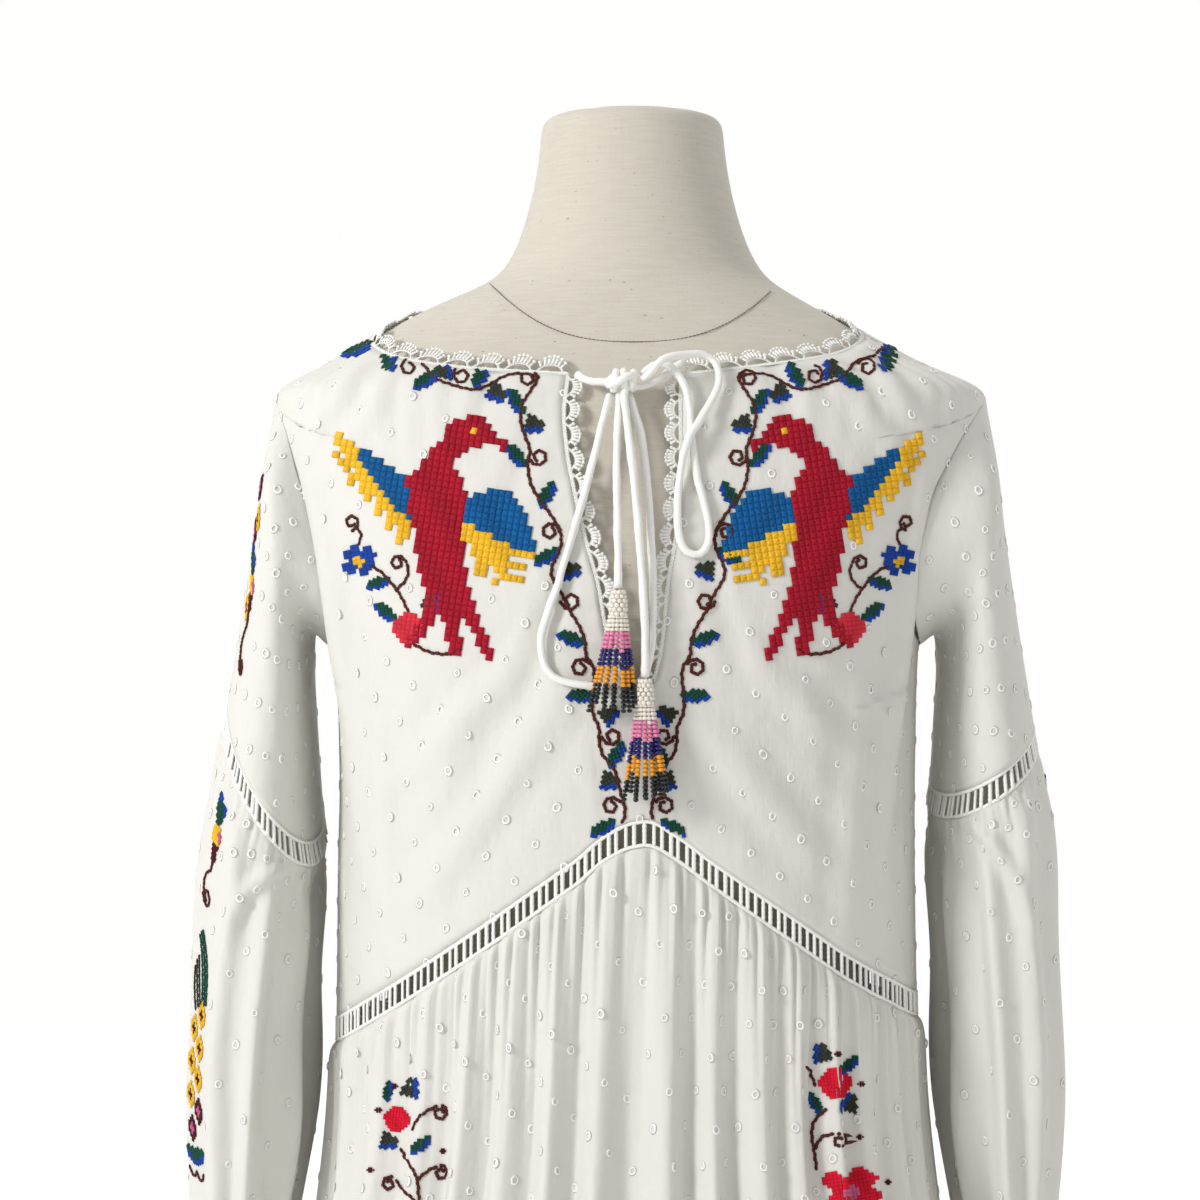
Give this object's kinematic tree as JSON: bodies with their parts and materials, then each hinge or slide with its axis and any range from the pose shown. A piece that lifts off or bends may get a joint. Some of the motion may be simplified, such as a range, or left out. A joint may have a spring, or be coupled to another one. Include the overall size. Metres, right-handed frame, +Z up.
{
  "type": "pollera dress on a limbless dress form",
  "caption": "Long-sleeved peasant dress in dotted cotton voile with ladder insertion, crochet edging and a tasselled tie, on a linen dress form.",
  "frame": {"origin": "middle of the round stand's underside, on the floor", "axes": "+Z up along the stand, the dress faces -Y, the wearer's right side is at -X"},
  "size_m": [0.5902, 0.4963, 1.548],
  "materials": {
    "cotton_voile": "soft matte voile with woven dots",
    "lace_thread": "matte cotton thread",
    "crochet_cotton": "matte crochet cotton",
    "tie_cotton": "matte voile tube",
    "glass_beads": "glossy opaque seed beads in bands of pearl, pink, navy, orange and black",
    "linen_cover": "plain beige linen",
    "stand_metal": "satin black paint"
  },
  "bodies": {
    "root": {"yoke_front": "cotton_voile", "yoke_back": "cotton_voile", "slit_trim_left": "crochet_cotton", "slit_trim_right": "crochet_cotton", "neck_trim_left": "crochet_cotton", "neck_trim_right": "crochet_cotton", "neck_trim_back": "crochet_cotton", "ladder_front": "lace_thread", "ladder_back": "lace_thread", "skirt_front": "cotton_voile", "skirt_back": "cotton_voile", "sleeve_left": "cotton_voile", "sleeve_right": "cotton_voile", "sleeve_ladder_left": "lace_thread", "sleeve_ladder_right": "lace_thread", "lower_sleeve_left": "cotton_voile", "lower_sleeve_right": "cotton_voile", "cuff_left": "cotton_voile", "cuff_right": "cotton_voile", "tie_knot": "tie_cotton", "tie_bridge_left": "tie_cotton", "tie_bridge_right": "tie_cotton", "tie_loop_left": "tie_cotton", "tie_loop_right": "tie_cotton", "tie_end_one": "tie_cotton", "tie_end_two": "tie_cotton", "tassel_one": "glass_beads", "tassel_two": "glass_beads", "form_body": "linen_cover", "stand_pole": "stand_metal", "stand_flange": "stand_metal", "stand_base": "stand_metal"}
  },
  "joints": []
}
